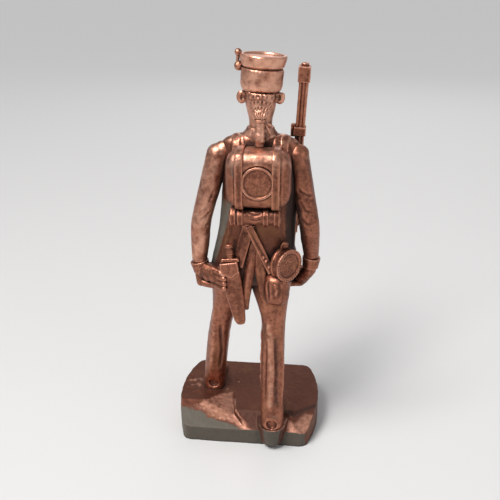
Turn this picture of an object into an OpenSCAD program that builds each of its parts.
// Toy soldier: a small cast-metal infantryman on the march, standing on a plinth.
// Millimetres. +Z is up, the soldier faces +Y and the soldier's right side is +X.
// The origin is the middle of the plinth's underside.
// Every item of dress and kit is a casting of its own. A soft form is trimmed by the pieces that it lies on,
// and the main castings are located by round spigots in matching sockets.

/* [Plinth] */
// Length of the plinth over its bowed ends
base_w = 15.2; // [14.4:0.1:17]
// How far each end of the plinth bows out
base_bow = 1.2; // [0.8:0.1:1.8]
// Depth of the plinth from front to back
base_d = 11.2; // [10.4:0.1:13]
// Height of the plinth's top
base_h = 3; // [2.6:0.1:4]
// Height of the upright back edge, below the broken ground
base_back_h = 1.7; // [1.3:0.1:2.2]
// Depth of the broken ground that slopes down to the back edge
base_slope_d = 1.7; // [1.4:0.1:2.2]
// Fall of the bank behind the left heel, in degrees
left_bank_fall = 12; // [8:1:15]
// Fall of the bank beside the right heel, in degrees
right_bank_fall = 34; // [28:1:40]
// Radius of the plinth's four upright corners
base_corner_r = 1; // [0.5:0.1:1.6]

/* [Stance] */
// Sideways place of the trunk
body_x = 1.2; // [0.8:0.1:1.6]
// Fore and aft place of the trunk
body_y = -2; // [-2.4:0.1:-1.6]
// Sideways place of the left heel
left_foot_x = -4; // [-4.4:0.1:-3.6]
// Fore and aft place of the left heel
left_foot_y = 0.4; // [-0.2:0.1:0.8]
// Sideways place of the right heel
right_foot_x = 2.9; // [2.6:0.1:3.2]
// Fore and aft place of the right heel
right_foot_y = -5.5; // [-5.8:0.1:-5]
// Height from the ground to the fork of the legs
leg_l = 14.2; // [13:0.1:16]
// Width of one trouser leg at the seat
seat_w = 4.1; // [3.8:0.1:4.5]
// Width of the trousers at the knee
knee_w = 2.3; // [2.1:0.05:2.6]
// Width of the trousers at the heel
ankle_w = 2.35; // [2:0.05:2.6]
// Diameter of the round pin mark behind each heel
pin_mark_d = 1.1; // [0.8:0.1:1.2]
// Depth of the round pin mark
pin_mark_depth = 0.4; // [0.2:0.1:0.5]

/* [Shoes] */
// Length of a shoe from the back of the heel
shoe_l = 5.4; // [4.8:0.1:5.8]
// Width of a shoe at the ball of the foot
shoe_w = 1.9; // [1.7:0.1:2.2]
// Height of a shoe at the instep
shoe_h = 1.3; // [1:0.1:1.6]
// Height of a shoe at the toe
toe_h = 0.6; // [0.5:0.1:0.9]

/* [Coat] */
// Height of the coat from the fork of the legs to the neck
trunk_h = 15; // [14:0.1:16]
// Width of the chest
chest_w = 7.2; // [6.8:0.1:7.6]
// Depth of the chest
chest_d = 4.2; // [3.8:0.1:4.6]
// Width of the waist
waist_w = 7.4; // [7:0.1:7.8]
// Depth of the waist
waist_d = 3.8; // [3.5:0.1:4.2]
// Width of the skirts at the hem
hem_w = 8.7; // [8.2:0.1:9]
// Depth of the skirts at the hem
hem_d = 4.6; // [4.2:0.1:5]
// Length of the tails below the waist
tail_l = 8.4; // [7.8:0.1:8.8]
// Width of one tail
tail_w = 1.1; // [0.9:0.1:1.3]
// Height of the collar
collar_h = 0.9; // [0.7:0.1:1.1]
// Thickness of the collar
collar_t = 0.3; // [0.2:0.05:0.4]

/* [Arms] */
// Width of the shoulders over both sleeves
shoulder_w = 9.7; // [9.4:0.1:10]
// Width of a sleeve at the shoulder
sleeve_w = 2.3; // [2:0.1:2.5]
// Width of a sleeve at the elbow
elbow_w = 1.95; // [1.7:0.05:2.2]
// Width of a sleeve at the wrist
wrist_w = 1.4; // [1.2:0.1:1.6]
// Drop from the shoulder to the elbow
upper_arm_l = 6.2; // [5.8:0.1:6.6]
// Drop from the elbow to the wrist
forearm_l = 4.4; // [4:0.1:4.8]
// How far the left elbow stands out past its shoulder
left_elbow_out = 1.6; // [1.4:0.1:1.9]
// How far the right elbow stands out past its shoulder
right_elbow_out = 1.35; // [1.1:0.1:1.6]
// Length of a cuff
cuff_l = 1; // [0.8:0.1:1.2]
// How far a cuff stands proud of its sleeve
cuff_t = 0.15; // [0.1:0.05:0.25]
// Thickness of a finger
finger_d = 0.54; // [0.46:0.02:0.6]

/* [Head] */
// Width of the neck
neck_w = 2.1; // [1.9:0.1:2.3]
// Width of the head above the ears
head_w = 2.8; // [2.6:0.1:3]
// Depth of the head from brow to nape
head_d = 3; // [2.8:0.1:3.2]
// Height from the foot of the neck to the brim of the shako
head_h = 4.1; // [3.8:0.1:4.4]
// Height of an ear
ear_h = 1.2; // [1:0.05:1.4]
// Width of an ear
ear_w = 0.95; // [0.8:0.05:1.1]
// Thickness of an ear
ear_t = 0.5; // [0.4:0.05:0.6]
// Reach of an ear out from the head
ear_l = 0.8; // [0.7:0.05:0.9]
// Width of the queue of hair
queue_w = 0.85; // [0.7:0.05:1]
// Thickness of the queue's ribbon
ribbon_t = 0.24; // [0.18:0.02:0.3]

/* [Shako] */
// Diameter of the shako at the brim
shako_brim_d = 3.1; // [3:0.1:3.4]
// Diameter of the shako below its flared crown
shako_waist_d = 3.85; // [3.6:0.05:4]
// Diameter of the flared crown
crown_d = 4.25; // [4.1:0.05:4.4]
// Height of the body below the crown
shako_h = 2; // [1.8:0.1:2.3]
// Height of the flared crown
crown_h = 1.2; // [1:0.1:1.4]
// Depth of the dished top
crown_dish = 0.2; // [0.1:0.05:0.3]
// Sideways lean of the shako in degrees
shako_lean = 4; // [0:1:6]
// Reach of the peak in front of the brim
peak_l = 1; // [0.8:0.1:1.2]
// Thickness of the peak
peak_t = 0.2; // [0.15:0.05:0.3]
// Diameter of the cockade
cockade_d = 0.9; // [0.75:0.05:1]
// Diameter of the pompon
pompon_d = 0.65; // [0.55:0.05:0.8]
// Thickness of the loop between the cockade and the pompon
loop_d = 0.3; // [0.24:0.02:0.36]

/* [Knapsack] */
// Width of the knapsack
pack_w = 5.9; // [5.6:0.1:6.2]
// Height of the knapsack
pack_h = 5.3; // [5:0.1:5.6]
// Depth of the knapsack
pack_d = 3; // [2.7:0.1:3.3]
// Rounding of the knapsack's back edges
pack_round = 0.9; // [0.6:0.1:1.1]
// Diameter of the round lid on the flap
lid_d = 3; // [2.6:0.1:3.2]
// How far the round lid stands proud of the flap
lid_t = 0.15; // [0.1:0.05:0.25]
// Diameter of the blanket roll
roll_d = 1.5; // [1.4:0.05:1.7]
// Length of the blanket roll
roll_l = 4.8; // [4.5:0.1:5.2]
// Width of a knapsack strap
strap_w = 0.65; // [0.5:0.05:0.75]
// Thickness of one layer of strap or belt
strap_t = 0.18; // [0.14:0.02:0.22]
// Distance between the two straps down the knapsack's flap
flap_strap_pitch = 3.3; // [3.1:0.1:3.6]
// Distance between the two straps over the shoulders
shoulder_strap_pitch = 4.4; // [4.2:0.1:4.8]

/* [Canteen and haversack] */
// Diameter of the canteen
canteen_d = 3.2; // [3:0.1:3.5]
// Thickness of the canteen
canteen_t = 1.1; // [0.9:0.1:1.3]
// Height of the canteen's middle above the fork of the legs
canteen_rise = 3.1; // [2.9:0.1:3.3]
// Diameter of the canteen's stopper
stopper_d = 0.55; // [0.45:0.05:0.65]
// Height of the canteen's stopper
stopper_h = 0.7; // [0.6:0.1:0.9]
// Thickness of the stopper's cord
cord_d = 0.18; // [0.14:0.02:0.24]
// Width of a cross belt
belt_w = 0.7; // [0.5:0.05:0.9]
// Width of the sabre belt's broad end at the frog
sling_w = 1.1; // [0.9:0.05:1.2]
// Width of the haversack
haversack_w = 2.3; // [2:0.1:2.6]
// Height of the haversack
haversack_h = 3.1; // [2.8:0.1:3.3]
// Depth of the haversack
haversack_d = 1.6; // [1.4:0.1:1.8]

/* [Sabre] */
// Length of the scabbard below the frog
scabbard_l = 5.2; // [4.6:0.1:5.8]
// Width of the scabbard
scabbard_w = 1.7; // [1.5:0.05:1.8]
// Thickness of the scabbard
scabbard_t = 0.6; // [0.5:0.05:0.7]
// Length of the frog
frog_l = 1.6; // [1.4:0.1:1.8]
// Width of the frog
frog_w = 1.7; // [1.6:0.05:1.85]
// Thickness of the frog
frog_t = 1.1; // [1:0.05:1.2]
// Length of the grip above the guard
grip_l = 1.5; // [1.3:0.1:1.7]
// Diameter of the grip
grip_d = 0.75; // [0.65:0.05:0.85]
// Width of the cross guard
guard_w = 1.7; // [1.5:0.1:1.9]
// Thickness of the cross guard
guard_t = 0.3; // [0.25:0.05:0.4]

/* [Musket] */
// Length of the musket from butt to muzzle
musket_l = 22; // [21:0.1:22.6]
// Diameter of the barrel
barrel_d = 0.7; // [0.6:0.02:0.8]
// Diameter of the barrel's bore
bore_d = 0.3; // [0.2:0.02:0.34]
// Width of the stock
stock_w = 0.86; // [0.82:0.02:1]
// Depth of the fore-end
fore_end_d = 0.65; // [0.55:0.05:0.75]
// Length of the butt
butt_l = 6; // [5.4:0.1:6.6]
// Depth of the butt at its end
butt_d = 1.7; // [1.5:0.1:1.9]
// Thickness of a barrel band
band_t = 0.12; // [0.08:0.02:0.16]
// Height of a barrel band
band_h = 0.8; // [0.6:0.05:1]
// Height of the nose band at the muzzle
nose_band_h = 1.4; // [1.1:0.1:1.7]
// Width and height of the sling's swivel on the upper band
swivel_w = 0.6; // [0.4:0.05:0.7]
swivel_h = 1.2; // [1:0.1:1.4]
// Length of bare barrel above the nose band
bare_muzzle_l = 0.2; // [0.1:0.05:0.4]
// Diameter of the ramrod
ramrod_d = 0.28; // [0.24:0.02:0.32]

/* [Fits] */
// Diameter of the spigots that locate the castings
spigot_d = 1.2; // [1:0.1:1.3]
// Length of a spigot
spigot_l = 1.2; // [1:0.1:1.3]
// Clearance of a spigot in its socket and of a seated piece in its pocket
fit_gap = 0.03; // [0.02:0.01:0.05]

/* [Hidden] */
$fn = 48;

copper = "#8c4f38";
dark_copper = "#6b3a2a";
bright_copper = "#a8674c";

// Sides of a soft form, and rings from one of its stations to the next
soft_sides = 18;
soft_steps = 2;
// Sides of a finger or a ribbon end, and of the shako's tufts
bar_sides = 8;
tuft_sides = 12;
// Overshoot of a cutting body past the face that it cuts
past = 0.2;
// How deep a soft form reaches into the piece that trims it
sunk = 0.4;
// Half the size of a body that cuts away everything on one side of a plane
vast = 40;

// Back edge of the plinth, and the turn of the banks' contour lines
back_y = -base_d / 2;
left_bank_turn = 30;
right_bank_turn = 23;

// Levels
hip_z = base_h + leg_l;
hem_z = hip_z + 0.6;
waist_z = hip_z + 0.42 * trunk_h;
chest_z = hip_z + 0.69 * trunk_h;
yoke_z = hip_z + 0.86 * trunk_h;
neck_z = hip_z + trunk_h;
brim_z = neck_z + head_h;
ankle_z = base_h + 0.9;

// The coat stands over the fork of the legs, and its hem is set over to the left with the stride
fork_x = body_x - 0.8;
hem_shift = -0.85;
coat_power = 2.6;
// Stations of the coat: [z, x, y, half width, half depth]
coat_rows = [
    [hem_z, body_x + hem_shift, body_y, hem_w / 2, hem_d / 2],
    [hip_z + 0.22 * trunk_h, body_x + 0.7 * hem_shift, body_y, (hem_w + waist_w) / 4, (hem_d + waist_d) / 4],
    [waist_z, body_x + 0.3 * hem_shift, body_y, waist_w / 2, waist_d / 2],
    [chest_z, body_x, body_y, chest_w / 2, chest_d / 2],
    [yoke_z, body_x, body_y, chest_w / 2 - 0.1, chest_d / 2 - 0.35],
    [neck_z - 0.9, body_x, body_y, chest_w / 2 - 0.2, neck_w / 2 + 0.4],
    [neck_z - 0.4, body_x, body_y, chest_w / 2 - 0.6, neck_w / 2 + 0.25],
    [neck_z, body_x, body_y, neck_w / 2 + 0.8, neck_w / 2 + 0.1]
];
// Back of the coat at the chest
coat_back = body_y - chest_d / 2;

// Shoulder, elbow and wrist of each arm
arm_x = (shoulder_w - sleeve_w) / 2;
arm_z = yoke_z + 0.2;
arm_shift = -0.3;
left_shoulder = [body_x + arm_shift - arm_x, body_y, arm_z];
right_shoulder = [body_x + arm_shift + arm_x, body_y, arm_z];
left_elbow = left_shoulder + [-left_elbow_out, -0.9, -upper_arm_l];
right_elbow = right_shoulder + [right_elbow_out, -0.6, -upper_arm_l];
left_wrist = left_elbow + [-0.3, -0.1, -forearm_l];
right_wrist = right_elbow + [0.35, 1.6, -forearm_l];

// The musket stands in the cupped right hand and leans out and back to the shoulder
musket_foot = right_wrist + [-2.4, 1.9, -cuff_l - 2.1];
musket_lean = [3.4, 3.1, 0];
barrel_y = fore_end_d / 2;
breech_z = butt_l + 1.2;
band_levels = [0.46, 0.7] * musket_l;

// Knapsack and blanket roll behind the coat
pack_x = body_x + 0.1;
pack_z = hip_z + 0.787 * trunk_h;
pack_front = body_y - neck_w / 2 - collar_t - 2 * fit_gap;
pack_back = pack_front - pack_d;
pack_power = 4.5;
pack_bevel = 0.35 * pack_round;
lid_x = pack_x + 0.05;
lid_z = pack_z - 0.1;
lid_sunk = 0.3;
roll_x = body_x - 0.15;
roll_z = pack_z - pack_h / 2 - strap_t - roll_d / 2 - fit_gap;
roll_y = coat_back - roll_d / 2 - 2 * strap_t;
roll_strap_places = [-0.42, -0.28, 0.21, 0.42] * roll_l;
roll_strap_w = 0.75 * strap_w;

// Canteen on the right hip, its face turned outwards from straight back
canteen_turn = 46;
canteen_seat = [body_x + 2.3, body_y - 1.85, hip_z + canteen_rise];
// Haversack behind the right hip
haversack_x = body_x + 1.85;
haversack_top = hip_z + 2;
haversack_front = body_y - hem_d / 2 + 0.7;

// Sabre behind the left hip, at the height where the left hand steadies it
frog_top = [body_x - 2.75, body_y - hem_d / 2 - frog_t / 2 + 0.25, left_wrist.z + 0.8];
scabbard_lean = -9;
hilt_lean = -4;

// Places [x, z] that each belt runs through: shoulder, small of the back, its end there, front hip
small_z = waist_z + 0.4;
canteen_belt_places = [
    [body_x - 1.85, neck_z + 0.2], [body_x - 0.8, small_z],
    [body_x + 1.3, canteen_seat.z - 0.7], [body_x + 3.4, canteen_seat.z - 0.1]
];
sabre_belt_places = [
    [body_x + 1.85, neck_z + 0.2], [body_x - 0.95, small_z],
    [body_x - 1.9, frog_top.z - 0.2], [body_x - 3.4, frog_top.z + 0.3]
];

// Curves and lofts

// One value between b and c on a smooth curve through a, b, c and d
function between(a, b, c, d, t) =
    b + 0.5 * t * (c - a + t * (2 * a - 5 * b + 4 * c - d + t * (3 * (b - c) + d - a)));

// Stations with further ones filled in along a smooth curve
function filled(rows, steps) = let (last = len(rows) - 1) [
    for (i = [0:last - 1], k = [0:steps - 1])
        between(rows[max(i - 1, 0)], rows[i], rows[i + 1], rows[min(i + 2, last)], k / steps),
    rows[last]
];

// A power of a number that keeps its sign
function signed_pow(v, e) = sign(v) * pow(abs(v), e);

// One level ring of a loft: a superellipse, from an oval at power 2 to a rounded box at 5
function ring(row, grow, power) = [
    for (i = [0:soft_sides - 1]) let (a = 360 * (i + 0.5) / soft_sides) [
        row[1] + (row[3] + grow) * signed_pow(cos(a), 2 / power),
        row[2] + (row[4] + grow) * signed_pow(sin(a), 2 / power),
        row[0]
    ]
];

// A closed skin over rings of points that rise along +Z
module skin(rings) {
    n = len(rings[0]);
    last = len(rings) - 1;
    sides = [
        for (j = [0:last - 1], i = [0:n - 1], half = [0, 1])
            let (a = j * n + i, b = j * n + (i + 1) % n)
                half == 0 ? [a, a + n, b + n] : [a, b + n, b]
    ];
    caps = [[for (i = [0:n - 1]) i], [for (i = [n - 1:-1:0]) last * n + i]];
    polyhedron([for (r = rings) each r], concat(sides, caps));
}

// A soft form lofted through stations [z, x, y, half width, half depth]
module loft(rows, grow = 0, power = 2, steps = soft_steps)
    skin([for (row = filled(rows, steps)) ring(row, grow, power)]);

// One skin over a soft form and all that trims it, at the size that it has
module one_skin() resize([0, 0, 0]) children();

// A round-ended bar from one point to another
module bar(a, b, d1, d2) hull() {
    translate(a) sphere(d = d1, $fn = bar_sides);
    translate(b) sphere(d = d2, $fn = bar_sides);
}

// A spigot along +Z, with a root that reaches back into its own casting
module spigot() translate([0, 0, -sunk]) cylinder(d = spigot_d, h = spigot_l + sunk);

// The socket that takes a spigot and its root
module socket() translate([0, 0, -sunk - past])
    cylinder(d = spigot_d + 2 * fit_gap, h = past + sunk + spigot_l + fit_gap);

// Everything on the +X side of a plane through x
module beyond_x(x) translate([x, -vast, -vast]) cube(2 * vast);

// Plinth

module base_outline() {
    bow_r = (base_d * base_d / 4 + base_bow * base_bow) / (2 * base_bow);
    offset(r = base_corner_r) offset(delta = -base_corner_r) intersection() {
        translate([bow_r - base_w / 2, 0]) circle(r = bow_r);
        translate([base_w / 2 - bow_r, 0]) circle(r = bow_r);
        square([base_w, base_d], center = true);
    }
}

// A rounded lump of ground under the right heel, standing out past the back edge
module heel_mound() translate([right_foot_x, right_foot_y, 0.6]) hull() {
    cylinder(d1 = ankle_w - 0.2, d2 = ankle_w + 0.5, h = base_h - 0.9, $fn = 20);
    translate([0, base_slope_d, 0]) cylinder(d = ankle_w + 1, h = base_h - 0.9, $fn = 20);
}

// Everything above ground that falls away to the back from a place, with its contour lines turned
module above_ground(place, turn, fall) translate(place) rotate([0, 0, turn]) rotate([fall, 0, 0])
    translate([-vast, -vast, 0]) cube(2 * vast);

// The ground left of the ridge that runs from between the feet to the back edge
module left_of_ridge() linear_extrude(vast) translate([fork_x, back_y]) polygon([
    [-vast, 2 * base_d / 3], [-2.1, 2 * base_d / 3], [-2.1, 0.46 * base_d], [-1.6, 0.14 * base_d],
    [-0.2, 0], [0.5, -past], [-vast, -past]
]);

module base_form() {
    steep = atan2(base_h - base_back_h, base_slope_d);
    easy = 0.6 * steep;
    difference() {
        linear_extrude(base_h) base_outline();
        above_ground([0, back_y, base_back_h], 0, steep);
        intersection() {
            left_of_ridge();
            union() {
                above_ground([left_foot_x, left_foot_y - ankle_w, base_h], left_bank_turn, left_bank_fall);
                above_ground([0, back_y, base_back_h], 0, easy);
            }
        }
        intersection() {
            beyond_x(right_foot_x + ankle_w / 2);
            above_ground(
                [right_foot_x + ankle_w, back_y + base_slope_d + 0.3, base_h],
                right_bank_turn,
                right_bank_fall
            );
        }
    }
    heel_mound();
}

// Sockets for the two shoes
module foot_place(x, y) translate([x, y + shoe_l / 2 - 0.5, base_h]) mirror([0, 0, 1]) children();

module base() color(dark_copper) difference() {
    base_form();
    foot_place(left_foot_x, left_foot_y) socket();
    foot_place(right_foot_x, right_foot_y) socket();
}

// Shoes and trouser legs

module shoe_form(x, y) translate([x, y, base_h - sunk]) hull() {
    cylinder(d = ankle_w - 0.4, h = 0.8 * shoe_h + sunk, $fn = 24);
    translate([0, 0.3 * shoe_l, 0]) cylinder(d = 0.85 * shoe_w, h = shoe_h + sunk, $fn = 24);
    translate([0, shoe_l - ankle_w / 2 - shoe_w / 2, 0]) cylinder(d = shoe_w, h = toe_h + sunk, $fn = 24);
}

left_hip_x = body_x - 2.8;
right_hip_x = body_x + 1.1;

// Stations of a trouser leg from the heel up to the seat
function leg_rows(x, y, knee_x, thigh_x, hip_x) = let (knee_z = base_h + 0.53 * leg_l) [
    [base_h - sunk, x, y, ankle_w / 2 - 0.1, ankle_w / 2 - 0.1],
    [ankle_z, x, y, ankle_w / 2, ankle_w / 2],
    [knee_z, knee_x, 0.57 * body_y + 0.43 * y + 0.2, knee_w / 2, knee_w / 2 + 0.1],
    [base_h + 0.78 * leg_l, thigh_x, 0.75 * body_y + 0.25 * y, 0.55 * knee_w, 0.6 * knee_w],
    [hip_z, hip_x, body_y, seat_w / 2, 0.43 * hem_d],
    [hem_z + sunk, hip_x, body_y, seat_w / 2, 0.43 * hem_d]
];
left_leg_rows = leg_rows(left_foot_x, left_foot_y, left_foot_x + 0.75, body_x - 3.65, left_hip_x);
right_leg_rows = leg_rows(right_foot_x, right_foot_y, right_foot_x - 0.15, body_x + 1.5, right_hip_x);
leg_power = 2.2;

module left_leg_form() difference() {
    loft(left_leg_rows, 0, leg_power);
    beyond_x(fork_x);
}

module right_leg_form() intersection() {
    loft(right_leg_rows, 0, leg_power);
    beyond_x(fork_x);
}

// A round mark left by a casting pin, in the back of a trouser leg
module pin_mark(x, y, z) translate([x, y - ankle_w / 2 - past, z]) rotate([-90, 0, 0])
    cylinder(d = pin_mark_d, h = pin_mark_depth + past, $fn = 20);

// The place of a leg's spigot under the coat
module hip_place(x) translate([x, body_y, hem_z]) children();

module left_shoe() color(copper) {
    one_skin() difference() {
        shoe_form(left_foot_x, left_foot_y);
        base_form();
        left_leg_form();
    }
    foot_place(left_foot_x, left_foot_y) spigot();
}

module right_shoe() color(copper) {
    one_skin() difference() {
        shoe_form(right_foot_x, right_foot_y);
        base_form();
        right_leg_form();
    }
    foot_place(right_foot_x, right_foot_y) spigot();
}

module left_trouser_leg() color(copper) {
    one_skin() difference() {
        left_leg_form();
        base_form();
        coat_form();
        pin_mark(left_foot_x, left_foot_y, base_h + 1);
    }
    hip_place(left_hip_x) spigot();
}

module right_trouser_leg() color(copper) {
    one_skin() difference() {
        right_leg_form();
        base_form();
        coat_form();
        stock_form(fit_gap);
        pin_mark(right_foot_x, right_foot_y, base_h + 0.3);
    }
    hip_place(right_hip_x) spigot();
}

// Coat

module coat_form(grow = 0) loft(coat_rows, grow, coat_power);

// Places of the spigots that stand in the coat
module neck_place() translate([body_x, body_y, neck_z]) mirror([0, 0, 1]) children();
module left_arm_place() translate(left_shoulder + [sunk, 0, 0]) rotate([0, 90, 0]) children();
module right_arm_place() translate(right_shoulder - [sunk, 0, 0]) rotate([0, -90, 0]) children();
module pack_place() translate([body_x - 0.3, coat_back + sunk, yoke_z - 0.2]) rotate([-90, 0, 0]) children();

module coat_body() color(copper) difference() {
    one_skin() difference() {
        coat_form();
        canteen_form(fit_gap);
        roll_form(fit_gap);
        roll_strap_forms(fit_gap);
        frog_form(fit_gap);
        stock_form(fit_gap);
    }
    hip_place(left_hip_x) socket();
    hip_place(right_hip_x) socket();
    neck_place() socket();
    left_arm_place() socket();
    right_arm_place() socket();
    pack_place() socket();
}

// Stations of a tail that hangs from a place [x, z] beside the middle of the back to another
function tail_rows(top, foot) = let (back = body_y - hem_d / 2 + 0.2, drop = top.y - foot.y) [
    [foot.y, foot.x, back + 0.2, 0.35 * tail_w, 0.25],
    [foot.y + 0.2 * drop, foot.x, back, 0.5 * tail_w, 0.34],
    [foot.y + 0.55 * drop, (top.x + foot.x) / 2, back, 0.5 * tail_w, 0.34],
    [top.y, top.x, body_y - waist_d / 2 + 0.05, 0.4 * tail_w, 0.3]
];

// Each tail starts below the belt that crosses it
module left_tail_form() loft(
    tail_rows([body_x - 0.4, waist_z - 1], [body_x - 1.3, waist_z - tail_l]), 0, 2.6
);
module right_tail_form() loft(
    tail_rows([body_x, waist_z - 1.6], [body_x + 0.55, waist_z - 0.83 * tail_l]), 0, 2.6
);

module left_coat_tail() color(copper) one_skin() difference() {
    left_tail_form();
    belted_coat_form();
    left_leg_form();
    right_leg_form();
    frog_form(fit_gap);
    scabbard_form();
}

module right_coat_tail() color(copper) one_skin() difference() {
    right_tail_form();
    belted_coat_form();
    left_leg_form();
    right_leg_form();
    left_tail_form();
}

module collar_form() loft([
    [neck_z - 0.9, body_x, body_y, neck_w / 2 + 3 * collar_t, neck_w / 2 + collar_t],
    [neck_z - 0.2, body_x, body_y, neck_w / 2 + 2.2 * collar_t, neck_w / 2 + collar_t],
    [neck_z + 0.4 * collar_h, body_x, body_y, neck_w / 2 + collar_t, neck_w / 2 + 0.9 * collar_t],
    [neck_z + collar_h, body_x, body_y, neck_w / 2 + 0.5 * collar_t, neck_w / 2 + 0.5 * collar_t]
]);

module collar() color(copper) one_skin() difference() {
    collar_form();
    head_form();
    belted_coat_form();
}

// Arms

// Stations of a sleeve from the wrist up to the rounded shoulder
function sleeve_rows(shoulder, elbow, wrist) = let (
    fore = (elbow + wrist) / 2,
    upper = (elbow + shoulder) / 2
) [
    [wrist.z, wrist.x, wrist.y, wrist_w / 2, wrist_w / 2],
    [fore.z, fore.x, fore.y - 0.1, 0.27 * (wrist_w + elbow_w), 0.27 * (wrist_w + elbow_w)],
    [elbow.z, elbow.x, elbow.y, elbow_w / 2, 0.52 * elbow_w],
    [upper.z, upper.x, upper.y, 0.25 * (elbow_w + sleeve_w), 0.27 * (elbow_w + sleeve_w)],
    [shoulder.z, shoulder.x, shoulder.y, sleeve_w / 2, 0.56 * sleeve_w],
    [shoulder.z + 0.3 * sleeve_w, shoulder.x, shoulder.y, 0.4 * sleeve_w, 0.45 * sleeve_w],
    [shoulder.z + 0.4 * sleeve_w, shoulder.x, shoulder.y, 0.2 * sleeve_w, 0.25 * sleeve_w]
];

module left_sleeve_form() loft(sleeve_rows(left_shoulder, left_elbow, left_wrist));
module right_sleeve_form() loft(sleeve_rows(right_shoulder, right_elbow, right_wrist));

module cuff_form(wrist, tilt) translate(wrist) rotate([0, tilt, 0]) translate([0, 0, -cuff_l]) loft([
    [0, 0, 0, wrist_w / 2 + cuff_t - 0.05, wrist_w / 2 + cuff_t - 0.05],
    [0.5 * cuff_l, 0, 0, wrist_w / 2 + cuff_t, wrist_w / 2 + cuff_t],
    [1.1 * cuff_l, 0, 0, wrist_w / 2 + 1.4 * cuff_t, wrist_w / 2 + 1.4 * cuff_t]
], 0, 2, 2);
left_cuff_tilt = -12;
right_cuff_tilt = 6;

module left_sleeve() color(copper) {
    one_skin() difference() {
        left_sleeve_form();
        strapped_coat_form();
    }
    left_arm_place() spigot();
}

module right_sleeve() color(copper) {
    one_skin() difference() {
        right_sleeve_form();
        strapped_coat_form();
    }
    right_arm_place() spigot();
}

module left_cuff() color(bright_copper) one_skin() difference() {
    cuff_form(left_wrist, left_cuff_tilt);
    left_sleeve_form();
    coat_form();
}

module right_cuff() color(bright_copper) one_skin() difference() {
    cuff_form(right_wrist, right_cuff_tilt);
    right_sleeve_form();
    coat_form();
}

// The left hand is closed round the scabbard, with its fingers stacked one below the other
left_palm = left_wrist + [0.2, -0.2, -cuff_l + 0.4];
left_knuckles = left_palm + [1.25, -0.8, 0];
left_heel = left_palm + [-0.1, -0.1, -1.5];
left_tips = [frog_top.x - 0.45, frog_top.y - 0.35];
finger_pitch = 0.96 * finger_d;

module left_hand_form() {
    bar(left_palm, left_knuckles, 1.4, 1.16);
    bar(left_palm + [-0.2, 0.07, -0.4], left_heel, 0.9, 0.75);
    bar(left_heel, left_knuckles + [0, 0.1, -3 * finger_pitch], 0.7, finger_d);
    for (i = [0:3]) {
        root = left_knuckles + [0.02 * i, -0.1 + 0.03 * i, 0.3 - i * finger_pitch];
        bar(root, [left_tips.x, left_tips.y, root.z - 0.1], 1.1 * finger_d, 0.9 * finger_d);
    }
    bar(left_palm + [0.5, 0.3, 0.2], [left_tips.x - 0.2, frog_top.y + 0.55, left_palm.z + 0.1], 0.7, 0.55);
}

module left_hand() color(copper) one_skin() difference() {
    left_hand_form();
    cuff_form(left_wrist, left_cuff_tilt);
    coat_form();
    left_leg_form();
    frog_form(fit_gap);
    scabbard_form();
}

// The right hand is cupped under the musket's butt
right_palm = right_wrist + [-0.15, 0.15, -cuff_l - 0.3];
right_heel = right_wrist + [-0.9, 1.1, -cuff_l - 1.85];

module right_hand_form() {
    bar(right_palm, right_heel, 1.3, 1.15);
    for (i = [0:3]) {
        root = [right_heel.x - 0.1, musket_foot.y - 0.85 + 0.92 * i * finger_d, musket_foot.z - 0.2];
        crook = [musket_foot.x - 0.15, root.y, musket_foot.z - finger_d / 2 - 0.1];
        tip = [musket_foot.x - stock_w / 2 - 0.15, root.y, musket_foot.z + 0.5];
        bar(root, crook, 1.1 * finger_d, finger_d);
        bar(crook, tip, finger_d, 0.85 * finger_d);
    }
    bar(right_heel + [0, 0.2, 0.8], musket_foot + [0.35, 1.1, 1.5], 0.75, 0.55);
}

module right_hand() color(copper) one_skin() difference() {
    right_hand_form();
    cuff_form(right_wrist, right_cuff_tilt);
    coat_form();
    right_leg_form();
    stock_form(fit_gap);
}

// Head

module head_form() loft([
    [neck_z, body_x, body_y, neck_w / 2, neck_w / 2],
    [neck_z + 0.26 * head_h, body_x, body_y, neck_w / 2, neck_w / 2],
    [neck_z + 0.4 * head_h, body_x, body_y + 0.22, 0.39 * head_w, 0.44 * head_d],
    [neck_z + 0.66 * head_h, body_x, body_y + 0.12, 0.48 * head_w, 0.5 * head_d],
    [neck_z + 0.9 * head_h, body_x, body_y, 0.5 * head_w, 0.5 * head_d],
    [brim_z + sunk, body_x, body_y, 0.5 * head_w, 0.5 * head_d]
], 0, 2.2);

// Frame of the shako, on the top of the head
module shako_place() translate([body_x, body_y, brim_z]) rotate([0, shako_lean, 0]) children();

// Everything above the shako's brim
module above_brim() shako_place() translate([-vast, -vast, 0]) cube(2 * vast);

// An ear: an oval shell, hollowed behind
module ear(side) {
    out = side * (head_w / 2 + ear_l - ear_w / 2);
    translate([body_x + out, body_y - 0.15, neck_z + 0.87 * head_h]) difference() {
        resize([ear_w, ear_t, ear_h]) sphere($fn = tuft_sides);
        translate([-0.1 * side * ear_w, -0.55 * ear_t, 0]) resize([0.5 * ear_w, 0.9 * ear_t, 0.55 * ear_h])
            sphere($fn = bar_sides);
    }
}

module nose() translate([body_x, body_y + head_d / 2, neck_z + 0.6 * head_h]) hull() {
    translate([0, 0.12, -0.25]) sphere(d = 0.42, $fn = 12);
    translate([0, -0.05, 0.45]) sphere(d = 0.26, $fn = 12);
}

module head() color(copper) {
    one_skin() difference() {
        union() {
            head_form();
            ear(-1);
            ear(1);
            nose();
        }
        above_brim();
    }
    neck_place() spigot();
    shako_place() spigot();
}

ribbon_z = neck_z + 0.43 * head_h;
queue_y = body_y - 0.53 * head_d - 0.25;
hair_x = body_x + 0.1;

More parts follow.
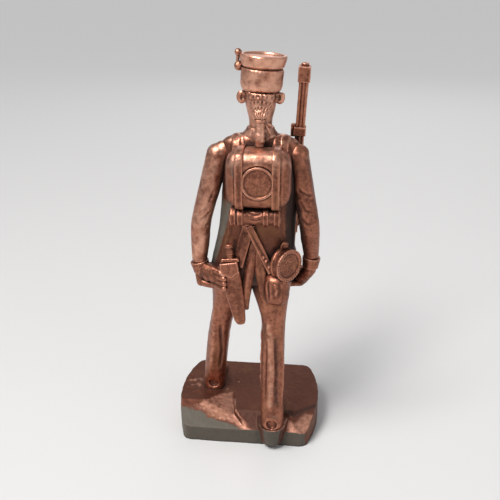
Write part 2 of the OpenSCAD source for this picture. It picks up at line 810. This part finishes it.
module hair_form() loft([
    [ribbon_z + 0.1, hair_x, queue_y, 0.5 * queue_w, 0.4 * queue_w],
    [ribbon_z + 0.5, hair_x, queue_y + 0.3, 0.22 * head_w, 0.2 * head_d],
    [ribbon_z + 1, hair_x, body_y - 1.05, 0.32 * head_w, 0.27 * head_d],
    [ribbon_z + 1.7, hair_x, body_y - 0.95, 0.42 * head_w, 0.3 * head_d],
    [brim_z + sunk, hair_x, body_y - 0.85, 0.45 * head_w, 0.31 * head_d]
], 0, 2.2);

module hair() color(copper) one_skin() difference() {
    hair_form();
    head_form();
    ear(-1);
    ear(1);
    above_brim();
}

module queue_form() loft([
    [pack_z + pack_h / 2 - past, hair_x, queue_y - 0.3, 0.3 * queue_w, 0.3 * queue_w],
    [pack_z + pack_h / 2 + 0.5, hair_x, queue_y - 0.25, 0.5 * queue_w, 0.5 * queue_w],
    [ribbon_z - 0.5, hair_x, queue_y - 0.1, 0.5 * queue_w, 0.45 * queue_w],
    [ribbon_z + 0.1, hair_x, queue_y, 0.42 * queue_w, 0.4 * queue_w]
], 0, 2.2);

module queue() color(bright_copper) one_skin() difference() {
    queue_form();
    pack_form();
    collar_form();
    head_form();
    coat_form();
}

// The ribbon's ring, and its two ends that hang to the right
module queue_ribbon() color(bright_copper) difference() {
    union() {
        translate([hair_x, queue_y, ribbon_z]) cylinder(d = queue_w + ribbon_t, h = ribbon_t, center = true);
        for (tip = [[0.95, 0.15, -0.45], [0.9, 0.1, -1.15]]) translate([hair_x, queue_y, ribbon_z])
            bar([0.4 * queue_w, -0.1, 0], tip, ribbon_t, 0.9 * ribbon_t);
    }
    one_skin() union() {
        queue_form();
        head_form();
        hair_form();
    }
}

// Shako

module shako_body_form() rotate_extrude() polygon([
    [0, 0],
    [shako_brim_d / 2, 0],
    [shako_waist_d / 2 - 0.12, 0.25],
    [shako_waist_d / 2 - 0.03, 0.55],
    [shako_waist_d / 2, shako_h - 0.3],
    [shako_waist_d / 2 - 0.05, shako_h],
    [0, shako_h]
]);

module shako_crown_form() rotate_extrude() polygon([
    [0, shako_h],
    [shako_waist_d / 2 - 0.2, shako_h],
    [shako_waist_d / 2 - 0.2, shako_h + 0.08],
    [shako_waist_d / 2 + 0.02, shako_h + 0.25],
    [crown_d / 2, shako_h + crown_h - 0.15],
    [crown_d / 2 - 0.08, shako_h + crown_h],
    [crown_d / 2 - 0.3, shako_h + crown_h],
    [crown_d / 2 - 0.4, shako_h + crown_h - crown_dish],
    [0, shako_h + crown_h - crown_dish]
]);

// Places of the cockade and the pompon, on the shako's left side
cockade_place = [-shako_waist_d / 2 - 0.2, 0, shako_h + 0.05];
pompon_place = [-crown_d / 2 - 0.15, 0, shako_h + crown_h];

module shako_body() color(copper) difference() {
    shako_place() shako_body_form();
    shako_place() socket();
}

module shako_crown() color(copper) shako_place() shako_crown_form();

module shako_peak() color(dark_copper) shako_place() difference() {
    translate([0, peak_l, -peak_t]) cylinder(d = shako_brim_d + 0.2, h = 2 * peak_t);
    shako_body_form();
    translate([-vast, -vast, -peak_t - past]) cube([2 * vast, vast, 1]);
    translate([0, 0, -peak_t - past]) cylinder(d = shako_brim_d, h = peak_t + past);
}

module cockade_form() translate(cockade_place) sphere(d = cockade_d, $fn = tuft_sides);
module pompon_form() translate(pompon_place) sphere(d = pompon_d, $fn = tuft_sides);

module cockade() color(bright_copper) shako_place() one_skin() difference() {
    cockade_form();
    shako_body_form();
    shako_crown_form();
}

module pompon() color(bright_copper) shako_place() one_skin() difference() {
    pompon_form();
    shako_crown_form();
}

module cockade_loop() color(copper) shako_place() one_skin() difference() {
    translate([pompon_place.x, 0, cockade_place.z])
        cylinder(d = loop_d, h = pompon_place.z - cockade_place.z, $fn = tuft_sides);
    cockade_form();
    pompon_form();
    shako_body_form();
    shako_crown_form();
}

// Belts and straps on the coat

// A flat slab along the line from one place [x, z] to a lower one, through the back (-1) or front (1) half
module run(from, to, side, width) {
    fall = from - to;
    end = width / 3;
    intersection() {
        translate([from.x, body_y, from.y]) rotate([0, atan2(fall.x, fall.y), 0])
            translate([-width / 2, -vast, -norm(fall) - end]) cube([width, 2 * vast, norm(fall) + 2 * end]);
        translate([-vast, side < 0 ? body_y - 2 * vast : body_y, -vast]) cube(2 * vast);
    }
}

// A belt: shoulder to small of the back, on down over the tails, and shoulder to hip in front
module belt_form(places, thick, lower_thick, lower_w) {
    intersection() {
        coat_form(thick);
        union() {
            run(places[0], places[1], -1, belt_w);
            run(places[0], places[3], 1, belt_w);
        }
    }
    intersection() {
        coat_form(lower_thick);
        run(places[1], places[2], -1, lower_w);
    }
}

module canteen_belt_form() belt_form(canteen_belt_places, strap_t, 2.8 * strap_t, belt_w);

// The sabre's belt lies over the canteen's where they cross above, and is broad at the frog
module sabre_belt_form() belt_form(sabre_belt_places, 1.7 * strap_t, 2.5 * strap_t, sling_w);

// The coat with both belts on it
module belted_coat_form() {
    coat_form();
    canteen_belt_form();
    sabre_belt_form();
}

module canteen_belt() color(bright_copper) one_skin() difference() {
    canteen_belt_form();
    coat_form();
    roll_form(fit_gap);
    roll_strap_forms(fit_gap);
    canteen_form(fit_gap);
}

module sabre_belt() color(bright_copper) one_skin() difference() {
    sabre_belt_form();
    canteen_belt_form();
    coat_form();
    roll_form(fit_gap);
    roll_strap_forms(fit_gap);
    frog_form(fit_gap);
    guard_form(fit_gap);
}

// A knapsack strap over one shoulder and the belts, down the chest and back under the arm
module shoulder_strap_form(side) {
    x = pack_x + side * shoulder_strap_pitch / 2;
    under_z = chest_z - 1.6;
    intersection() {
        coat_form(2.6 * strap_t);
        union() {
            translate([x - strap_w / 2, body_y, under_z]) cube([strap_w, vast, vast]);
            translate([x - strap_w / 2, pack_front - sunk, chest_z]) cube([strap_w, vast, vast]);
            translate([side < 0 ? x - vast : x, body_y + 0.3 * chest_d, under_z]) cube([vast, vast, strap_w]);
        }
    }
}

module shoulder_strap(side) one_skin() difference() {
    shoulder_strap_form(side);
    belted_coat_form();
    pack_form();
    collar_form();
    roll_strap_forms(fit_gap);
    stock_form(fit_gap);
}

// The coat with both belts and both shoulder straps on it
module strapped_coat_form() {
    belted_coat_form();
    shoulder_strap_form(-1);
    shoulder_strap_form(1);
}

module left_shoulder_strap() color(bright_copper) shoulder_strap(-1);
module right_shoulder_strap() color(bright_copper) shoulder_strap(1);

// Knapsack and blanket roll

// The knapsack swells back from its front plane, and its face leans in towards the top
module pack_form(grow = 0) translate([pack_x, pack_front, pack_z]) rotate([90, 0, 0]) loft([
    [0, 0, 0, pack_w / 2 - 0.1, pack_h / 2 - 0.1],
    [0.35 * pack_d, 0, 0, pack_w / 2, pack_h / 2],
    [pack_d - pack_round, 0, 0, pack_w / 2, pack_h / 2],
    [pack_d - 0.3 * pack_round + grow, 0, -0.05, pack_w / 2 - pack_bevel, pack_h / 2 - pack_bevel],
    [pack_d + grow, 0, -0.1, pack_w / 2 - pack_round, pack_h / 2 - pack_round]
], grow, pack_power);

module lid_form(grow = 0) translate([lid_x, pack_back + lid_sunk + grow, lid_z]) rotate([90, 0, 0])
    cylinder(d = lid_d + 2 * grow, h = lid_sunk + lid_t + grow);

module knapsack() color(copper) {
    one_skin() difference() {
        pack_form();
        belted_coat_form();
        lid_form(fit_gap);
        roll_form(fit_gap);
        roll_strap_forms(fit_gap);
    }
    pack_place() spigot();
}

// The lid has a raised rim round a shallow dish
module knapsack_lid() color(bright_copper) difference() {
    lid_form();
    translate([lid_x, pack_back - lid_t + 0.08, lid_z]) rotate([90, 0, 0]) cylinder(d = lid_d - 0.4, h = 1);
}

module flap_strap(side) one_skin() difference() {
    intersection() {
        pack_form(strap_t);
        translate([pack_x + side * flap_strap_pitch / 2 - strap_w / 2, pack_back - vast, 0])
            cube([strap_w, vast + pack_d + past, vast]);
    }
    pack_form();
    strapped_coat_form();
    collar_form();
    queue_form();
    lid_form(fit_gap);
    roll_form(fit_gap);
    roll_strap_forms(fit_gap);
}

module left_flap_strap() color(bright_copper) flap_strap(-1);
module right_flap_strap() color(bright_copper) flap_strap(1);

// Frame of the blanket roll, with +Z along it
module roll_place() translate([roll_x, roll_y, roll_z]) rotate([0, 90, 0]) children();

module roll_form(grow = 0) roll_place() rotate_extrude() polygon([
    [0, -roll_l / 2 - grow],
    [0.32 * roll_d, -roll_l / 2 - grow],
    [0.45 * roll_d + grow, -0.48 * roll_l],
    [roll_d / 2 + grow, -0.44 * roll_l],
    [roll_d / 2 + grow, 0.44 * roll_l],
    [0.45 * roll_d + grow, 0.48 * roll_l],
    [0.32 * roll_d, roll_l / 2 + grow],
    [0, roll_l / 2 + grow]
]);

module roll_strap_forms(grow = 0) for (place = roll_strap_places) roll_place() translate([0, 0, place])
    cylinder(d = roll_d + 2 * strap_t + 2 * grow, h = roll_strap_w + 2 * grow, center = true);

module blanket_roll() color(copper) roll_form();

module roll_straps() color(bright_copper) difference() {
    roll_strap_forms();
    roll_form();
}

// Canteen and haversack

// Frame of the canteen, with +Z out of its face
module canteen_place() translate(canteen_seat) rotate([90, 0, canteen_turn]) children();

module canteen_form(grow = 0) canteen_place() translate([0, 0, -grow])
    cylinder(d = canteen_d + 2 * grow, h = canteen_t + 2 * grow);

// A drum with a hoop at each end and a dished face
module canteen() color(bright_copper) canteen_place() rotate_extrude() polygon([
    [0, 0],
    [canteen_d / 2, 0],
    [canteen_d / 2, 0.22 * canteen_t],
    [canteen_d / 2 - 0.1, 0.3 * canteen_t],
    [canteen_d / 2 - 0.1, 0.7 * canteen_t],
    [canteen_d / 2, 0.78 * canteen_t],
    [canteen_d / 2, canteen_t],
    [canteen_d / 2 - 0.3, canteen_t],
    [canteen_d / 2 - 0.4, canteen_t - 0.12],
    [0, canteen_t - 0.12]
]);

// Foot of the stopper, on the top of the drum
stopper_foot = canteen_seat + [sin(canteen_turn), -cos(canteen_turn), 0] * 0.3 * canteen_t
    + [0, 0, canteen_d / 2 - 0.1];

module stopper_form() translate(stopper_foot) {
    translate([0, 0, -past]) cylinder(d = 0.75 * stopper_d, h = past + 0.4 * stopper_h);
    translate([0, 0, 0.35 * stopper_h]) cylinder(d = stopper_d, h = 0.65 * stopper_h);
}

module canteen_stopper() color(bright_copper) difference() {
    stopper_form();
    canteen_form();
}

// A loop of cord from the drum over the stopper
module stopper_cord() color(copper) difference() {
    translate(stopper_foot + [0, 0, 0.45 * stopper_h]) rotate([90, 0, canteen_turn])
        rotate_extrude() translate([(stopper_d + cord_d) / 2 + fit_gap, 0]) circle(d = cord_d);
    stopper_form();
    canteen_form();
}

module haversack() color(copper) one_skin() difference() {
    translate([haversack_x, haversack_front, haversack_top - haversack_h / 2]) rotate([90, 0, 0]) loft([
        [0, 0, 0, haversack_w / 2 - 0.1, haversack_h / 2 - 0.1],
        [0.5 * haversack_d, 0, 0, haversack_w / 2, haversack_h / 2],
        [0.85 * haversack_d, 0, 0, haversack_w / 2 - 0.25, haversack_h / 2 - 0.25],
        [haversack_d, 0, 0, haversack_w / 2 - 0.7, haversack_h / 2 - 0.7]
    ], 0, 3.2);
    belted_coat_form();
    right_leg_form();
    left_tail_form();
    right_tail_form();
    canteen_form(fit_gap);
}

// Sabre

// Frames of the scabbard and of the hilt, with +Z up and their origin at the top of the frog
module scabbard_place() translate(frog_top) rotate([0, scabbard_lean, 0]) children();

module hilt_place() translate(frog_top + [0.15, -0.1, 0.1]) rotate([0, hilt_lean, 0]) children();

module frog_form(grow = 0) scabbard_place() rotate([90, 0, 0]) translate([0, 0, -frog_t / 2 - grow])
    linear_extrude(frog_t + 2 * grow) polygon([
        [-frog_w / 2 - grow, grow],
        [-frog_w / 2 - grow, -0.65 * frog_l],
        [0, -frog_l - grow],
        [frog_w / 2 + grow, -0.65 * frog_l],
        [frog_w / 2 + grow, grow]
    ]);

module scabbard_form() scabbard_place() loft([
    [-frog_l - scabbard_l, 0.1, 0, 0.16 * scabbard_w, 0.3 * scabbard_t],
    [-frog_l - 0.9 * scabbard_l, 0.05, 0, 0.31 * scabbard_w, 0.4 * scabbard_t],
    [-frog_l - 0.45 * scabbard_l, 0, 0, 0.47 * scabbard_w, 0.5 * scabbard_t],
    [-frog_l, 0, 0, 0.5 * scabbard_w, 0.5 * scabbard_t],
    [-0.4 * frog_l, 0, 0, 0.45 * scabbard_w, 0.5 * scabbard_t]
], 0, 2.4);

module scabbard_frog() color(copper) frog_form();

module scabbard() color(bright_copper) one_skin() difference() {
    scabbard_form();
    frog_form(fit_gap);
    coat_form();
    left_leg_form();
    right_leg_form();
}

module guard_form(grow = 0) hilt_place() rotate([90, 0, 0]) translate([0, 0, -guard_t - grow])
    linear_extrude(2 * (guard_t + grow)) hull() {
        translate([-guard_w / 2 + guard_t / 2, guard_t / 2]) circle(d = guard_t + 2 * grow);
        translate([guard_w / 2 - guard_t / 2, guard_t / 2]) circle(d = guard_t + 2 * grow);
    }

module sabre_guard() color(bright_copper) guard_form();

module sabre_grip() color(bright_copper) hilt_place() translate([0, 0, guard_t]) rotate_extrude() polygon([
    [0, 0],
    [0.42 * grip_d, 0],
    [0.5 * grip_d, 0.35 * grip_l],
    [0.42 * grip_d, 0.7 * grip_l],
    [0.55 * grip_d, 0.8 * grip_l],
    [0.5 * grip_d, 0.95 * grip_l],
    [0.25 * grip_d, grip_l],
    [0, grip_l]
]);

// Musket

// Frame of the musket: +Z up the barrel from the end of the butt, +Y on the barrel's side
module musket_place() translate(musket_foot) rotate(musket_lean) children();

module stock_form(grow = 0) musket_place() rotate([90, 0, 90]) translate([0, 0, -stock_w / 2 - grow])
    linear_extrude(stock_w + 2 * grow) polygon([
        [barrel_y + grow, -grow],
        [barrel_y - butt_d - grow, -grow],
        [barrel_y - 0.9 * butt_d - grow, 0.35 * butt_l],
        [-fore_end_d / 2 - grow, 0.85 * butt_l],
        [-fore_end_d / 2 - grow, musket_l - 1],
        [barrel_y + grow, musket_l - 1],
        [barrel_y + grow, breech_z],
        [barrel_y - 0.2 + grow, 0.85 * butt_l]
    ]);

module barrel_form(grow = 0) musket_place() translate([0, barrel_y, breech_z])
    cylinder(d = barrel_d + 2 * grow, h = musket_l - breech_z);

module ramrod_form(grow = 0) musket_place() translate([0, -fore_end_d / 2, butt_l + 2.4])
    cylinder(d = ramrod_d + 2 * grow, h = musket_l - butt_l - 2.8);

module musket_stock() color(copper) difference() {
    stock_form();
    barrel_form(fit_gap);
    ramrod_form(fit_gap);
}

module musket_barrel() color(bright_copper) difference() {
    barrel_form();
    musket_place() translate([0, barrel_y, musket_l - 2]) cylinder(d = bore_d, h = 2 + past);
}

// A band round the stock and the barrel
module band(z, height) musket_place() translate([0, 0, z]) {
    translate([-stock_w / 2 - band_t, -fore_end_d / 2 - ramrod_d / 2 - band_t, 0])
        cube([stock_w + 2 * band_t, fore_end_d + ramrod_d / 2 + band_t, height]);
    translate([0, barrel_y, 0]) cylinder(d = stock_w + 2 * band_t, h = height);
}

module barrel_bands() color(bright_copper) difference() {
    union() {
        for (z = band_levels) band(z, band_h);
        band(musket_l - bare_muzzle_l - nose_band_h, nose_band_h);
        musket_place() translate([-stock_w / 2 - band_t, 0, band_levels[1] + band_h / 2])
            cube([swivel_w, 2 * swivel_w / 3, swivel_h], center = true);
    }
    stock_form(fit_gap);
    barrel_form(fit_gap);
    ramrod_form(fit_gap);
}

// Lock plate with its pan and its cock, on the musket's right side
module musket_lock() color(bright_copper) musket_place() translate([stock_w / 2, 0, butt_l]) {
    rotate([90, 0, 90]) linear_extrude(0.12) polygon([
        [-0.25, -0.7], [0.2, -0.5], [0.25, 1.2], [-0.1, 1.5], [-0.25, 1]
    ]);
    translate([0, 0, 0.9]) cube([0.3, 0.35, 0.3]);
    rotate([90, 0, 90]) linear_extrude(0.25) polygon([
        [-0.1, 0.1], [0.1, -0.1], [0.5, 0.2], [0.55, 0.6], [0.38, 0.65], [0.3, 0.35], [0.05, 0.3]
    ]);
}

// A bow of strap under the wrist of the stock
module trigger_guard() color(bright_copper) musket_place() difference() {
    translate([0, -fore_end_d / 2, butt_l + 0.9]) rotate([0, 90, 0]) rotate_extrude()
        translate([0.65, 0]) square([0.14, 0.3], center = true);
    translate([-vast, -fore_end_d / 2, -vast]) cube(2 * vast);
}

module ramrod() color(bright_copper) ramrod_form();

base();
left_shoe();
right_shoe();
left_trouser_leg();
right_trouser_leg();
coat_body();
left_coat_tail();
right_coat_tail();
collar();
left_sleeve();
right_sleeve();
left_cuff();
right_cuff();
left_hand();
right_hand();
head();
hair();
queue();
queue_ribbon();
shako_body();
shako_crown();
shako_peak();
cockade();
cockade_loop();
pompon();
canteen_belt();
sabre_belt();
left_shoulder_strap();
right_shoulder_strap();
knapsack();
knapsack_lid();
left_flap_strap();
right_flap_strap();
blanket_roll();
roll_straps();
canteen();
canteen_stopper();
stopper_cord();
haversack();
scabbard();
scabbard_frog();
sabre_grip();
sabre_guard();
musket_stock();
musket_barrel();
barrel_bands();
musket_lock();
trigger_guard();
ramrod();
